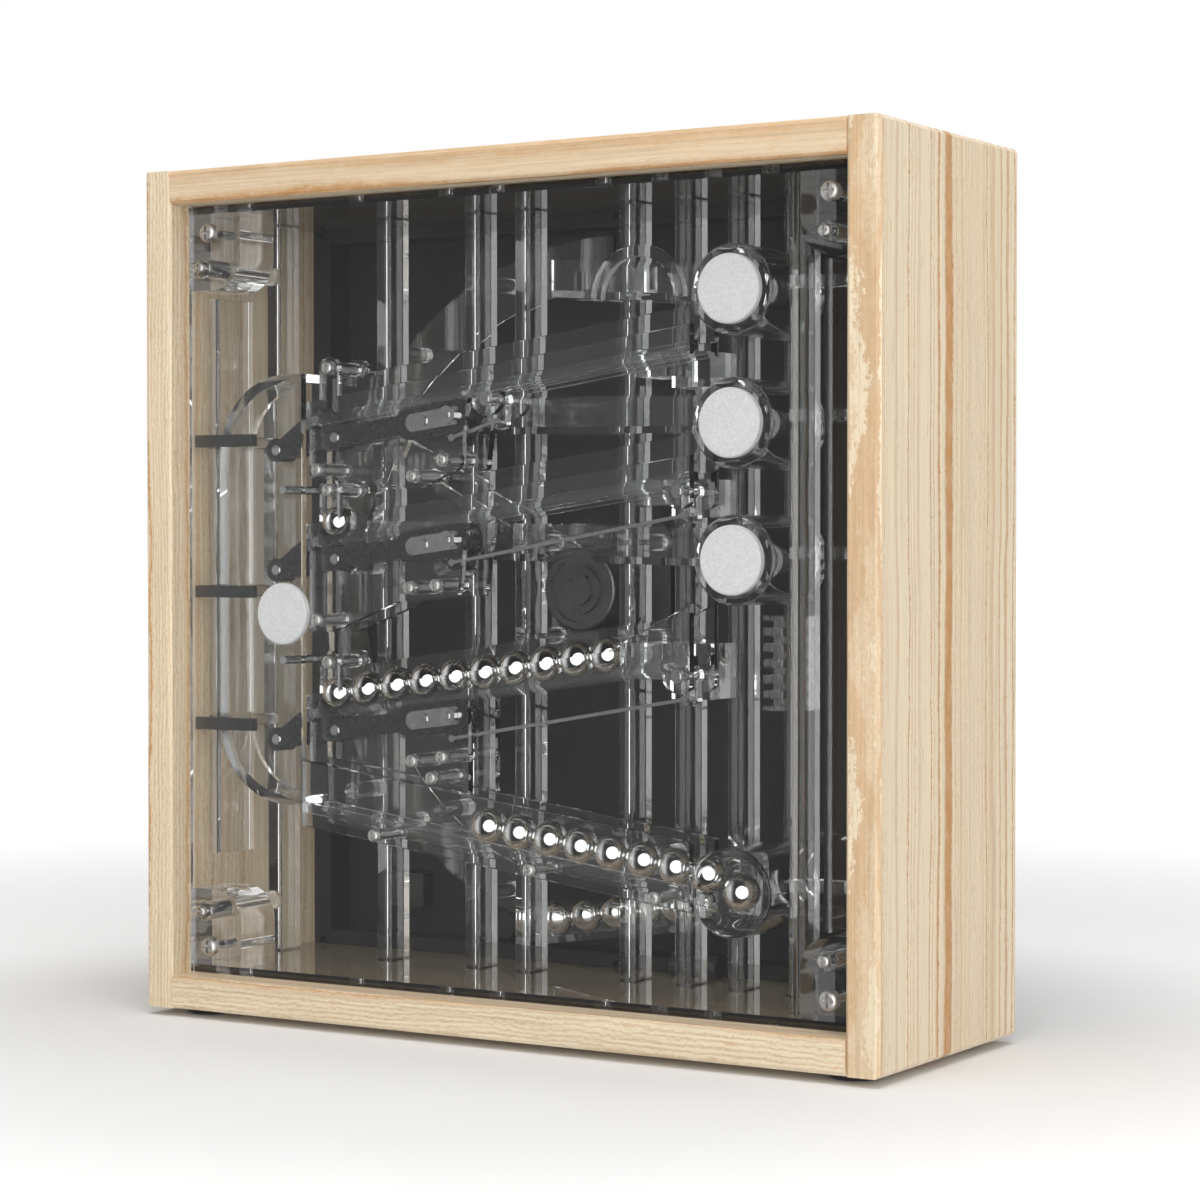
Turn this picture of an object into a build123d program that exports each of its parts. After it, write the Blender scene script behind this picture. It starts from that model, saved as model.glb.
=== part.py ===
"""Rolling ball clock: a wooden case with a clear front, holding a clear sheet mechanism that lifts and
counts steel balls. X is across the front, Y runs from the front to the back, Z is up.
The origin is on the floor, under the middle of the case. Every depth is measured back from the wood's front."""

import math
import os

from build123d import *

os.makedirs("parts", exist_ok=True)

# ---------------------------------------------------------------- the steel balls
ball_radius = 6.35
ball_gap = 0.15
ball_spacing = 0.07
ball_pitch = 2 * ball_radius + ball_spacing

# ---------------------------------------------------------------- the wooden case
board = 12.0
outer_chamfer = 1.4
inner_chamfer = 1.0
foot_height = 3.0
foot_radius = 9.0
foot_inset = 17.0
dowel_radius = 3.0
dowel_length = 30.0
dowel_in_side = 8.0
dowel_gap = 0.05
dowel_end_gap = 0.5
dowel_inset = 18.0

inside_low = foot_height + board

# ---------------------------------------------------------------- the lanes' heights, each above the last
channel_above_floor = 21.6
queue_above_channel = 37.5
hour_above_queue = 45.0
five_minute_above_hour = 61.9
minute_above_five_minute = 43.8
feed_above_minute = 43.7
top_above_feed = 28.5

channel_first = (-17.2, inside_low + channel_above_floor)
queue_first = (-15.2, channel_first[1] + queue_above_channel)
hour_line = queue_first[1] + hour_above_queue
five_minute_line = hour_line + five_minute_above_hour
minute_line = five_minute_line + minute_above_five_minute
feed_start_z = minute_line + feed_above_minute
inside_high = feed_start_z + top_above_feed

# ---------------------------------------------------------------- the lift's reach, which sets the width
scoop_play = 1.0
scoop_wall = 2.0
lift_drop = 8.1
lift_side_room = 9.15

scoop_room = 2 * ball_radius + scoop_play
lift_radius = (feed_start_z + lift_drop - channel_first[1]) / 2
lift_centre_z = channel_first[1] + lift_radius
inner_half = lift_radius + scoop_room / 2 + scoop_wall + lift_side_room
case_width = 2 * (inner_half + board)
case_height = inside_high + board - foot_height

# ---------------------------------------------------------------- cement, screws and the clear front
film = 0.02
ease = 0.4
panel_setback = 10.3
panel_sheet = 3.0
panel_gap = 0.4
panel_screw_inset = 10.4
panel_screw_head = 3.5
panel_screw_radius = 1.5
panel_screw_bite = 14.0
standoff_left_inset = 6.0
standoff_right_inset = 12.6
standoff_end_inset = 22.9
standoff_radius = 3.5
standoff_screw_bite = 10.0
standoff_hole = 12.0
small_head_radius = 2.3
small_screw_radius = 1.0
screw_gap = 0.1
corner_block_width = 22.7
corner_block_height = 28.0
corner_block_depth = 20.0
corner_round = 12.0

# ---------------------------------------------------------------- the rails' lane and its ends
sheet = 3.0
panel_to_wall = 3.7
lane_play = 1.3
ledge_width = 2.7
ledge_height = 3.5
rail_angle = 8.0
queue_angle = 7.6
rail_from_left = 50.0
rail_from_right = 66.4
first_ball_inset = 8.4
rail_above = 0.5
rear_wall_above = 9.5
rail_below = 9.5

lane_width = 2 * ball_radius + lane_play
wall_front = panel_setback + panel_sheet + panel_to_wall
lane_near = wall_front + sheet
lane_far = lane_near + lane_width
lane_middle = lane_near + lane_width / 2
wall_back = lane_far + sheet
ledge_drop = math.sqrt(ball_radius**2 - (lane_width / 2 - ledge_width) ** 2)
rail_climb = math.tan(math.radians(rail_angle))
queue_fall = math.tan(math.radians(queue_angle))
rail_left = -inner_half + rail_from_left
rail_right = inner_half - rail_from_right
rail_rise = (rail_right - rail_left - first_ball_inset) * rail_climb
first_ball_x = rail_left + first_ball_inset
rail_step = ball_pitch * math.cos(math.radians(rail_angle))
queue_step = ball_pitch * math.cos(math.radians(queue_angle))

# ---------------------------------------------------------------- linings, posts and the back
liner = 3.0
liner_gap = 0.3
panel_to_liner = 0.7
post_width = 6.4
post_depth = 12.0
slot_gap = 0.1
batten = 8.0
batten_length = 12.0
back_sheet = 3.0
back_recess = 4.0
back_screw_radius = 1.5
back_screw_head = 3.0
back_screw_bite = 8.0

liner_start = panel_setback + panel_sheet + panel_to_liner
floor_top = inside_low + film + liner
ceiling = inside_high - film - liner
lever_post = 38.1
post_places = (-inner_half + standoff_left_inset, first_ball_x - 1.4, first_ball_x + lever_post, -19.7, 24.3,
               rail_right - 24.6, rail_right - 3.5, rail_right + 18.4, inner_half - standoff_right_inset)

# ---------------------------------------------------------------- the gate levers and what trips them
# A place here is measured from the first ball on the lever's own rail.
lever_sheet = 8.0
boss_radius = 4.3
band = 7.0
head_height = 12.0
window_height = 6.4
window_length = 24.4
pin_radius = 1.5
pivot_gap = 0.05
gate_pin_radius = 2.0
left_boss = (-25.8, -17.5)
middle_boss = (0.7, -13.4)
weight_pin = (39.6, -8.2)
gate_pivot = (53.0, -6.5)
nose_radius = 2.2
nose_below = 32.0
nose_gap = 0.2
link_drop = 8.0
link_inset = 1.0
link_sheet = 1.5
link_height = 1.2
link_eye_radius = 1.3
link_pin_radius = 0.75
link_gap = 0.15
crank_sheet = 4.0
crank_arm = 5.0
crank_boss_radius = 3.4
finger_sheet = 2.0
crank_drop = 11.0
finger_rise = 0.6
# A trip's ball count, its hinge past the last ball, and its finger's reach back towards the ball.
five_ball_trip = (5, 19.0, 13.0)
twelve_ball_trip = (12, 7.5, 8.0)

# ---------------------------------------------------------------- turn drums
drum_outer = 15.2
drum_wall = 3.0
pad_radius = 11.7
left_pad_radius = 11.15
pad_sheet = 2.5
upper_drum = (rail_right + 15.8, minute_line + rail_rise + 11.35)
middle_drum = (rail_right + 16.2, five_minute_line + rail_rise + 10.85)
lower_drum = (rail_right + 16.8, five_minute_line - 13.4)
bottom_drum_x = rail_right + 15.6
bottom_drum_drop = 3.44

# ---------------------------------------------------------------- transfer lanes behind the rails
wall_to_trough = 0.5
trough_play = 0.6
trough_wall = 2.09
trough_above = 4.0
trough_floor = 2.5
trough_left = first_ball_x + 5.6

trough_near = wall_back + wall_to_trough
trough_lane = 2 * ball_radius + trough_play
trough_far = trough_near + trough_lane + 2 * trough_wall
post_front = trough_far + film
post_far = post_front + post_depth

# ---------------------------------------------------------------- the queue, the lower channel and the lift
queue_left = rail_left - 2.0
queue_above = 10.5
queue_below = 13.0
channel_room = 0.3
channel_wall = 2.0
channel_play = 0.7
lift_angle = -62.0
guide_sheet = 2.0
guide_room = 0.2
scoop_running_gap = 0.4
scoop_back_room = 0.6
scoop_cheek = 1.2
scoop_hang = 0.1
arm_behind_scoop_front = 4.4
arm_sheet = 4.0
arm_width = 12.0
arm_window = 5.0
hub_radius = 8.0
hub_neck_radius = 4.0
hub_gap = 1.5
bush_proud = 1.0
shaft_radius = 2.5
motor_radius = 15.0
motor_length = 18.0
motor_mount_length = 13.0
motor_plate_sheet = 3.0
motor_plate_half = 24.0
motor_mount_rise = 17.0
motor_ear_rise = 19.5

channel_front = post_far + channel_room
channel_lane = 2 * ball_radius + channel_play
channel_lane_near = channel_front + channel_wall
channel_lane_far = channel_lane_near + channel_lane
channel_far = channel_lane_far + channel_wall
motor_plate_near = post_far + motor_mount_length
motor_plate_far = motor_plate_near + motor_plate_sheet
motor_near = motor_plate_near - motor_length
guide_near = motor_plate_far + guide_room
lift_near = max(guide_near + guide_sheet, channel_far) + scoop_running_gap
arm_near = lift_near + arm_behind_scoop_front
hub_near = motor_plate_far + bush_proud + hub_gap
scoop_far = lift_near + 2 * ball_radius - scoop_hang + scoop_cheek
back_front = scoop_far + scoop_back_room
back_far = back_front + back_sheet
batten_front = back_front - batten_length

# ---------------------------------------------------------------- the case's depth, which holds all of these
case_depth = back_far + back_recess
front_y = -case_depth / 2
dowel_depths = (dowel_inset, case_depth / 2, case_depth - dowel_inset)

# ---------------------------------------------------------------- balls in each lane
hour_ball_count = 10
queue_ball_count = 8
channel_ball_count = 6


# ================================================================ shared helpers
def at_depth(depth):
    """The Y of a place that lies a depth behind the wood's front."""
    return front_y + depth


def plate(outline, near, far):
    """A flat piece cut to an outline seen from the front, from one depth to another."""
    flat = Plane.XZ.offset(-at_depth(far)) * outline
    return extrude(flat, far - near)


def block(left, right, near, far, low, high):
    """A square block between two places in each direction."""
    middle = ((left + right) / 2, at_depth((near + far) / 2), (low + high) / 2)
    return Pos(*middle) * Box(right - left, far - near, high - low)


def rod(place, near, far, radius):
    """A round bar that runs from front to back."""
    return plate(Pos(*place) * Circle(radius), near, far)


def tube(place, near, far, outer, inner):
    """A round spacer that runs from front to back."""
    return rod(place, near, far, outer) - rod(place, near, far, inner)


def capsule(start, end, width):
    """The outline of a bar with round ends, seen from the front."""
    run = Vector(*end) - Vector(*start)
    middle = (Vector(*start) + Vector(*end)) * 0.5
    turn = math.degrees(math.atan2(run.Y, run.X))
    return Pos(middle.X, middle.Y) * Rot(0, 0, turn) * SlotCenterToCenter(run.length, width)


def outline_of(*corners):
    """A straight-sided outline through corners, seen from the front."""
    return Polygon(*corners, align=None)


head_rise = 0.8
head_round = 0.6
recess_depth = 0.65
recess_reach = 0.66
recess_half = 0.13


def recess(place, near, far, head):
    """A cross recess between two depths, sized from its screw's head."""
    x, z = place
    arm = head * recess_reach
    slit = head * recess_half
    return (block(x - arm, x + arm, near, far, z - slit, z + slit)
            + block(x - slit, x + slit, near, far, z - arm, z + arm))


def pan_screw(place, seat, length, head, shank):
    """A cross-recessed pan-head screw whose head stands in front of a depth."""
    rise = head * head_rise
    cap = rod(place, seat - rise, seat, head)
    cap = fillet(cap.edges().filter_by(GeomType.CIRCLE).sort_by(Axis.Y)[0], rise * head_round)
    cap -= recess(place, seat - rise, seat - rise + rise * recess_depth, head)
    return cap + rod(place, seat, seat + length, shank)


def rear_screw(place, seat, length, head, shank):
    """The same screw driven from the back, its head behind a depth."""
    rise = head * head_rise
    cap = rod(place, seat, seat + rise, head)
    cap = fillet(cap.edges().filter_by(GeomType.CIRCLE).sort_by(Axis.Y)[-1], rise * head_round)
    cap -= recess(place, seat + rise - rise * recess_depth, seat + rise, head)
    return cap + rod(place, seat - length, seat, shank)


def save(name, *solids):
    """Write one named piece, or a group of identical ones."""
    shapes = [solid for shape in solids for solid in shape.solids()]
    export_step(Compound(children=shapes) if len(shapes) > 1 else shapes[0], f"parts/{name}.step")


def mirrored(values):
    """Each value with both signs."""
    return [sign * value for value in values for sign in (-1, 1)]


# ================================================================ the wooden case
def dowel_places():
    """Each dowel's side, depth and height."""
    heights = (foot_height + board / 2, foot_height + case_height - board / 2)
    return [(side, depth, z) for side in (-1, 1) for depth in dowel_depths for z in heights]


def dowel(side, depth, z, radius, extra):
    """One dowel, or with extra length and radius, the hole that it is glued in."""
    inner_end = inner_half + dowel_in_side - dowel_length - extra
    outer_end = inner_half + dowel_in_side + extra
    middle = side * (inner_end + outer_end) / 2
    return Pos(middle, at_depth(depth), z) * Rot(0, 90, 0) * Cylinder(radius, outer_end - inner_end)


dowel_holes = [dowel(*place, dowel_radius + dowel_gap, dowel_end_gap) for place in dowel_places()]


def side_board(side):
    """A full-height side of the case, with its outer corners eased."""
    inner, outer = sorted((side * inner_half, side * case_width / 2))
    shape = block(inner, outer, 0, case_depth, foot_height, foot_height + case_height)
    outside = shape.faces().sort_by(Axis.X)[-1 if side > 0 else 0]
    shape = chamfer(outside.edges(), outer_chamfer)
    inside = shape.faces().sort_by(Axis.X)[0 if side > 0 else -1]
    shape = chamfer(inside.edges().filter_by(Axis.Z).sort_by(Axis.Y)[0], inner_chamfer)
    return shape - dowel_holes


def cross_board(low, is_top):
    """The top or bottom board, held between the two sides."""
    shape = block(-inner_half, inner_half, 0, case_depth, low, low + board)
    outside = shape.faces().sort_by(Axis.Z)[-1 if is_top else 0]
    shape = chamfer(outside.edges().filter_by(Axis.X), outer_chamfer)
    inside = shape.faces().sort_by(Axis.Z)[0 if is_top else -1]
    shape = chamfer(inside.edges().filter_by(Axis.X).sort_by(Axis.Y)[0], inner_chamfer)
    return shape - dowel_holes


save("side_board_left", side_board(-1))
save("side_board_right", side_board(1))
save("top_board", cross_board(foot_height + case_height - board, True))
save("bottom_board", cross_board(foot_height, False))
save("corner_dowels", *[dowel(*place, dowel_radius, 0) for place in dowel_places()])


def foot(x, depth):
    """One round rubber foot with an eased lower edge."""
    shape = Pos(x, at_depth(depth), foot_height / 2) * Cylinder(foot_radius, foot_height)
    return fillet(shape.edges().sort_by(Axis.Z)[0], foot_height / 3)


foot_depths = (foot_inset, case_depth - foot_inset)
save("rubber_feet", *[foot(x, depth) for x in mirrored([case_width / 2 - foot_inset])
                      for depth in foot_depths])

# ================================================================ the clear front
panel_far = panel_setback + panel_sheet
panel_ease = 0.3
block_front = panel_far + film
block_back = block_front + corner_block_depth
big_places = [(x, z) for x in mirrored([inner_half - panel_screw_inset])
              for z in (inside_low + panel_screw_inset, inside_high - panel_screw_inset)]
standoff_heights = (inside_low + standoff_end_inset, inside_high - standoff_end_inset)
standoff_places = [(x, z) for x in (-inner_half + standoff_left_inset, inner_half - standoff_right_inset)
                   for z in standoff_heights]


def front_panel():
    """The clear sheet, loose in the case by a small gap and drilled for its eight screws."""
    left = -inner_half + panel_gap
    shape = block(left, -left, panel_setback, panel_far, inside_low + panel_gap, inside_high - panel_gap)
    shape = chamfer(shape.faces().sort_by(Axis.Y)[0].edges(), panel_ease)
    for place in big_places:
        shape -= rod(place, panel_setback, panel_far, panel_screw_radius + screw_gap)
    for place in standoff_places:
        shape -= rod(place, panel_setback, panel_far, small_screw_radius + screw_gap)
    return shape


def corner_block(place):
    """A clear block in a corner of the case, which takes the panel's corner screw."""
    x, z = place
    side = 1 if x > 0 else -1
    end = 1 if z > case_height / 2 else -1
    wall = side * (inner_half - film)
    limit = ceiling - film if end > 0 else floor_top + film
    inner_x = wall - side * corner_block_width
    inner_z = limit - end * corner_block_height
    shape = block(min(wall, inner_x), max(wall, inner_x), block_front, block_back,
                  min(limit, inner_z), max(limit, inner_z))
    corner = shape.edges().filter_by(Axis.Y).sort_by_distance((inner_x, at_depth(block_front), inner_z))[0]
    shape = fillet(corner, corner_round)
    shape -= rod(place, block_front, block_back, panel_screw_radius + screw_gap)
    for other in standoff_places:
        shape -= rod(other, block_front, block_back, standoff_radius + screw_gap)
    return shape


save("front_panel", front_panel())
save("panel_screws", *[pan_screw(place, panel_setback, panel_sheet + panel_screw_bite, panel_screw_head,
                                 panel_screw_radius) for place in big_places],
     *[pan_screw(place, panel_setback, panel_sheet + standoff_screw_bite, small_head_radius,
                 small_screw_radius) for place in standoff_places])
save("panel_standoffs", *[rod(place, panel_far + film, post_front - film, standoff_radius)
                          - rod(place, panel_far, panel_far + standoff_hole, small_screw_radius + screw_gap)
                          for place in standoff_places])
save("corner_blocks", *[corner_block(place) for place in big_places])

# ================================================================ linings, posts and the back
motor_mounts = [(x, lift_centre_z + rise) for x in post_places[3:5]
                for rise in mirrored([motor_mount_rise])]
mount_hole = 6.0


def post_box(x, low, high, gap):
    """One upright clear post, or with a gap, the slot that it stands in."""
    half = post_width / 2 + gap
    return block(x - half, x + half, post_front - gap, post_far + gap, low, high)


def lining(low):
    """A clear sheet against the top or bottom board, slotted for the posts."""
    shape = block(-inner_half + liner_gap, inner_half - liner_gap, liner_start, batten_front,
                  low, low + liner)
    for x in post_places:
        shape -= post_box(x, low, low + liner, slot_gap)
    return shape


def post(x):
    """A clear post from board to board, cut short above the lower turn drum."""
    low = inside_low + film
    if abs(x - bottom_drum[0]) < drum_outer:
        low = bottom_drum[1] + drum_outer + ball_gap
    shape = chamfer(post_box(x, low, inside_high - film, 0).edges().filter_by(Axis.Z), ease)
    for place in motor_mounts:
        if place[0] == x:
            shape -= rod(place, post_far - mount_hole, post_far, small_screw_radius)
    return shape


save("linings", lining(floor_top - liner), lining(ceiling))

back_places = [(x, z) for x in (-inner_half + batten / 2, 0, inner_half - batten / 2)
               for z in (inside_low + batten / 2, inside_high - batten / 2)]
back_places += [(x, (inside_low + inside_high) / 2) for x in mirrored([inner_half - batten / 2])]


def battens():
    """Four dark battens round the back opening, which the back is screwed to."""
    low = block(-inner_half, inner_half, batten_front, back_front, inside_low, inside_low + batten)
    high = block(-inner_half, inner_half, batten_front, back_front, inside_high - batten, inside_high)
    sides = [block(min(side * inner_half, side * (inner_half - batten)),
                   max(side * inner_half, side * (inner_half - batten)),
                   batten_front, back_front, inside_low + batten, inside_high - batten) for side in (-1, 1)]
    pieces = [low, high, *sides]
    holes = [rod(place, batten_front, back_front, back_screw_radius + screw_gap) for place in back_places]
    return [piece - holes for piece in pieces]


switch_place = (-100.0, inside_low + 25.0)
switch_width = 19.0
switch_height = 13.0
switch_deep = 9.0
switch_floor = 1.5
switch_corner = 0.7
switch_gap = 0.1
bezel_rim = 1.5
bezel_sheet = 1.2
inlet_place = (-52.0, inside_low + 14.5)
inlet_radius = 5.0
inlet_length = 11.0
inlet_bore = 2.75
inlet_bore_depth = 8.0
inlet_flange = 1.6
inlet_flange_sheet = 1.5
inlet_pin_radius = 1.0
inlet_pin_inset = 0.5


def rounded_window(place, width, height, near, far, corner):
    """A rounded opening through a sheet."""
    return plate(Pos(*place) * RectangleRounded(width, height, corner), near, far)


def back_panel():
    """The dark sheet that closes the back, cut for the switch and the inlet."""
    edge = inner_half - panel_gap
    shape = block(-edge, edge, back_front, back_far, inside_low + panel_gap, inside_high - panel_gap)
    for place in back_places:
        shape -= rod(place, back_front, back_far, back_screw_radius + screw_gap)
    shape -= rounded_window(switch_place, switch_width + 2 * switch_gap, switch_height + 2 * switch_gap,
                            back_front, back_far, switch_corner + switch_gap)
    return shape - rod(inlet_place, back_front, back_far, inlet_radius + switch_gap)


save("rear_battens", *battens())
save("back_panel", back_panel())
save("back_screws", *[rear_screw(place, back_far, back_sheet + back_screw_bite, back_screw_head,
                                 back_screw_radius)
                      for place in back_places])


# ================================================================ power at the back
rocker_tilt = 10.0
rocker_axis_depth = back_far - 0.4
rocker_reach = 6.6
rocker_half_height = 3.8
rocker_end_high = 1.4
rocker_crown = 2.4
rocker_end_low = 0.4
rocker_keel = 4.0
rocker_ease = 0.3
rocker_pin_radius = 0.9
rocker_pin_reach = 5.2
rocker_pin_end_gap = 0.2
rocker_room = 0.6
rocker_end_room = 0.4


def rocker_pin(radius, reach):
    """The rocker's pivot pin along Z, or with more radius and reach, the bore that it turns in."""
    x, z = switch_place
    return Pos(x, at_depth(rocker_axis_depth), z) * Cylinder(radius, 2 * reach)


def switch_housing():
    """The rocker switch's body: a bezel behind the back and a box in front of it, open for the rocker."""
    bezel = rounded_window(switch_place, switch_width + 2 * bezel_rim, switch_height + 2 * bezel_rim,
                           back_far, back_far + bezel_sheet, bezel_rim)
    body = rounded_window(switch_place, switch_width, switch_height, back_far - switch_deep, back_far,
                          switch_corner)
    x, z = switch_place
    wide = rocker_reach + rocker_room
    high = rocker_half_height + rocker_end_room
    hollow = block(x - wide, x + wide, back_far - switch_deep + switch_floor, back_far + bezel_sheet,
                   z - high, z + high)
    bore = rocker_pin(rocker_pin_radius + pivot_gap, rocker_pin_reach + rocker_pin_end_gap)
    return bezel + body - hollow - bore


def rocker():
    """The rocker on its pivot pin, a shallow V seen from above, tilted so that one end is pressed in."""
    x, z = switch_place
    section = outline_of((-rocker_reach, rocker_end_high), (0, rocker_crown), (rocker_reach, rocker_end_high),
                         (rocker_reach, -rocker_end_low), (0, -rocker_keel), (-rocker_reach, -rocker_end_low))
    shape = extrude(section, rocker_half_height, both=True)
    shape = fillet(shape.edges().filter_by(Axis.Z), rocker_ease)
    turned = Pos(x, at_depth(rocker_axis_depth), z) * Rot(0, 0, rocker_tilt) * shape
    return turned + rocker_pin(rocker_pin_radius, rocker_pin_reach)


def power_inlet():
    """A round low-voltage inlet with its flange, bore and centre pin."""
    body = rod(inlet_place, back_far - inlet_length, back_far, inlet_radius)
    rim = back_far + inlet_flange_sheet
    shape = body + rod(inlet_place, back_far, rim, inlet_radius + inlet_flange)
    shape -= rod(inlet_place, back_far - inlet_bore_depth, rim, inlet_bore)
    return shape + rod(inlet_place, back_far - inlet_bore_depth, back_far - inlet_pin_inset, inlet_pin_radius)


save("switch_housing", switch_housing())
save("switch_rocker", rocker())
save("power_inlet", power_inlet())

# ================================================================ counting rails
def line_at(line, x):
    """The height of the balls' centres on a rail."""
    return line + (x - first_ball_x) * rail_climb


def band_outline(height_at, left, right, low, high):
    """A stretch along a lane, between two heights from the balls' centres."""
    return outline_of((left, height_at(left) + low), (right, height_at(right) + low),
                      (right, height_at(right) + high), (left, height_at(left) + high))


def rail_band(line, left, right, low, high):
    """The same along a counting rail."""
    return band_outline(lambda x: line_at(line, x), left, right, low, high)


def trip_place(line, trip):
    """Where a rail's trip crank is hinged: just right of the last ball's place."""
    count, past, _ = trip
    x = first_ball_x + (count - 1) * rail_step + past
    return (x, line_at(line, x) - crank_drop)


def pivot_of(line):
    """Where a rail's gate lever is hinged."""
    return local(line, gate_pivot)


def local(line, place):
    """A feature's place on its own rail, from one measured at the first ball's height."""
    return (first_ball_x + place[0], line + place[1])


tab_screw = (1.6, 11.4)
tab_width = 8.0
skirt_left = rail_left + 1.5
skirt_length = 62.1
skirt_right = first_ball_x + skirt_length
ear_width = 12.0
spacer_radius = 2.4
nut_radius = 2.3
nut_height = 1.2
mount_radius = 3.0
rail_gap = 0.3


def rail_strip(line, high, gap):
    """A rail wall's straight strip with the tab at its left, or with a gap, the room that they need."""
    outline = rail_band(line, rail_left - gap, rail_right, -rail_below - gap, high + gap)
    return outline + capsule(local(line, (tab_screw[0], 0)), local(line, tab_screw), tab_width + 2 * gap)


def rail_wall(line, trip, skirt, high, near, far, screws, line_below):
    """A rail's front or rear wall, with a skirt round its gate and an ear round its trip crank."""
    top_left = (skirt_left, line_at(line, skirt_left))
    top_right = (skirt_right, line_at(line, skirt_right) - rail_below / 2)
    outline = outline_of(*[local(line, corner) for corner in skirt], top_right, top_left)
    place = trip_place(line, trip)
    ear = capsule(place, (place[0], line_at(line, place[0]) - rail_below / 2), ear_width)
    outline += ear & rail_band(line, rail_left, rail_right, -2 * rail_below - crank_drop, rail_above)
    if line_below:
        outline -= rail_strip(line_below, high, rail_gap)
    outline += rail_strip(line, high, 0)
    shape = plate(outline, near, far)
    for hole in (place, pivot_of(line)):
        shape -= rod(hole, near, far, pin_radius)
    for screw in screws:
        shape -= rod(screw, near, far, small_screw_radius + screw_gap)
    return shape


def ledges(height_at, left, right):
    """The two narrow clear ledges that the balls roll on, one bonded to each wall."""
    top = -ledge_drop - ball_gap
    outline = band_outline(height_at, left, right, top - ledge_height, top)
    return [plate(outline, lane_near + film, lane_near + ledge_width),
            plate(outline, lane_far - ledge_width, lane_far - film)]


lever_near = lane_middle - lever_sheet / 2
lever_far = lane_middle + lever_sheet / 2
crank_near = lane_middle - crank_sheet / 2
crank_far = lane_middle + crank_sheet / 2


def nose_place(line):
    """The nose's centre, against the lower left of the first ball."""
    reach = ball_radius + nose_radius + nose_gap
    turn = math.radians(nose_below)
    return (first_ball_x - reach * math.cos(turn), line - reach * math.sin(turn))


def head_run(line, distance):
    """A place in the lever's head, a distance from the pivot towards the weight pin."""
    pivot = Vector(*pivot_of(line))
    run = (Vector(*local(line, weight_pin)) - pivot).normalized()
    place = pivot + run * distance
    return (place.X, place.Y)


def window_outline(line):
    """The round-ended window in the lever's head."""
    return capsule(head_run(line, window_length - window_height), pivot_of(line), window_height)


head_overhang = 1.5
ramp_width = 4.0
lever_ear = 6.0
pin_proud = 0.4
pin_ease = 0.3
washer_sheet = 0.5


def gate_lever(line):
    """The black lever: nose, ramp, two bosses and a long head with a window."""
    left = local(line, left_boss)
    middle = local(line, middle_boss)
    pivot = pivot_of(line)
    tip = nose_place(line)
    head_end = head_run(line, window_length - window_height + head_overhang)
    ear_end = (pivot[0], pivot[1] - link_drop)
    outline = capsule(left, middle, band) + capsule(left, tip, 2 * nose_radius)
    outline += capsule(tip, middle, ramp_width)
    outline += capsule(middle, head_end, band) + capsule(head_end, pivot, head_height)
    outline += capsule(pivot, ear_end, lever_ear)
    outline += Pos(*left) * Circle(boss_radius) + Pos(*middle) * Circle(boss_radius)
    outline -= window_outline(line)
    shape = plate(outline, lever_near, lever_far)
    for place in (left, middle):
        shape -= rod(place, lever_near, lever_far, gate_pin_radius)
    return shape - rod(ear_end, lever_near, lever_far, link_pin_radius + link_gap)


def gate_bearing(line):
    """The steel bearing strip set in the window, bored for the pivot and the weight pin."""
    shape = plate(window_outline(line), lever_near, lever_far)
    shape -= rod(pivot_of(line), lever_near, lever_far, pin_radius + pivot_gap)
    return shape - rod(local(line, weight_pin), lever_near, lever_far, gate_pin_radius)


def gate_weights(line):
    """The steel pins pressed through the lever to set its balance."""
    places = [local(line, place) for place in (left_boss, middle_boss, weight_pin)]
    pins = [rod(place, lever_near - pin_proud, lever_far + pin_proud, gate_pin_radius) for place in places]
    return [chamfer(pin.edges().filter_by(GeomType.CIRCLE), pin_ease) for pin in pins]


def pivot_pin(place, washer):
    """A fixed steel pin across the lane, with a washer under its front end."""
    shape = rod(place, wall_front - washer_sheet - pin_proud, wall_back, pin_radius)
    return shape + rod(place, wall_front - washer_sheet, wall_front, washer)


def trip_crank(line, trip):
    """The clear bell crank: a finger under the last ball's place and an arm for the link."""
    pivot = trip_place(line, trip)
    finger_x = pivot[0] - trip[2]
    tip = (finger_x, line_at(line, finger_x) - ball_radius + finger_rise - finger_sheet / 2)
    low = (pivot[0], pivot[1] - link_drop)
    outline = capsule(pivot, tip, finger_sheet) + capsule(pivot, low, crank_arm)
    outline += Pos(*pivot) * Circle(crank_boss_radius)
    shape = plate(outline, crank_near, crank_far)
    shape -= rod(pivot, crank_near, crank_far, pin_radius + pivot_gap)
    return shape - rod(low, crank_near, crank_far, link_pin_radius + link_gap)


link_pin_proud = 0.6


def trip_link(line, trip):
    """The thin steel link from the gate lever to the trip crank, with a pin at each end."""
    pivots = (pivot_of(line), trip_place(line, trip))
    start, end = [(place[0], place[1] - link_drop) for place in pivots]
    link_near = lane_near + link_inset
    outline = capsule(start, end, link_height)
    outline += Pos(*start) * Circle(link_eye_radius) + Pos(*end) * Circle(link_eye_radius)
    shape = plate(outline, link_near, link_near + link_sheet)
    shape += rod(start, link_near, lever_far + link_pin_proud, link_pin_radius)
    return shape + rod(end, link_near, crank_far + link_pin_proud, link_pin_radius)


def queue_at(x):
    """The height of the balls' centres in the queue."""
    return queue_first[1] - (x - queue_first[0]) * queue_fall


def above_queue(x):
    """A corner of the hour rail's skirt, just above the queue's walls, measured from its first ball."""
    return (x - first_ball_x, queue_at(x) + queue_above + 2 * rail_gap - hour_line)


skirt_start = skirt_left - first_ball_x
minute_skirt = [(skirt_start, -27.6), (31.6, -32.2), (41.6, -32.2), (58.6, -25.0)]
five_minute_skirt = [(skirt_start, -39.5), (2.6, -39.5), (31.6, -28.5), (57.6, -26.0)]
hour_skirt = [above_queue(skirt_left), above_queue(skirt_right)]

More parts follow.
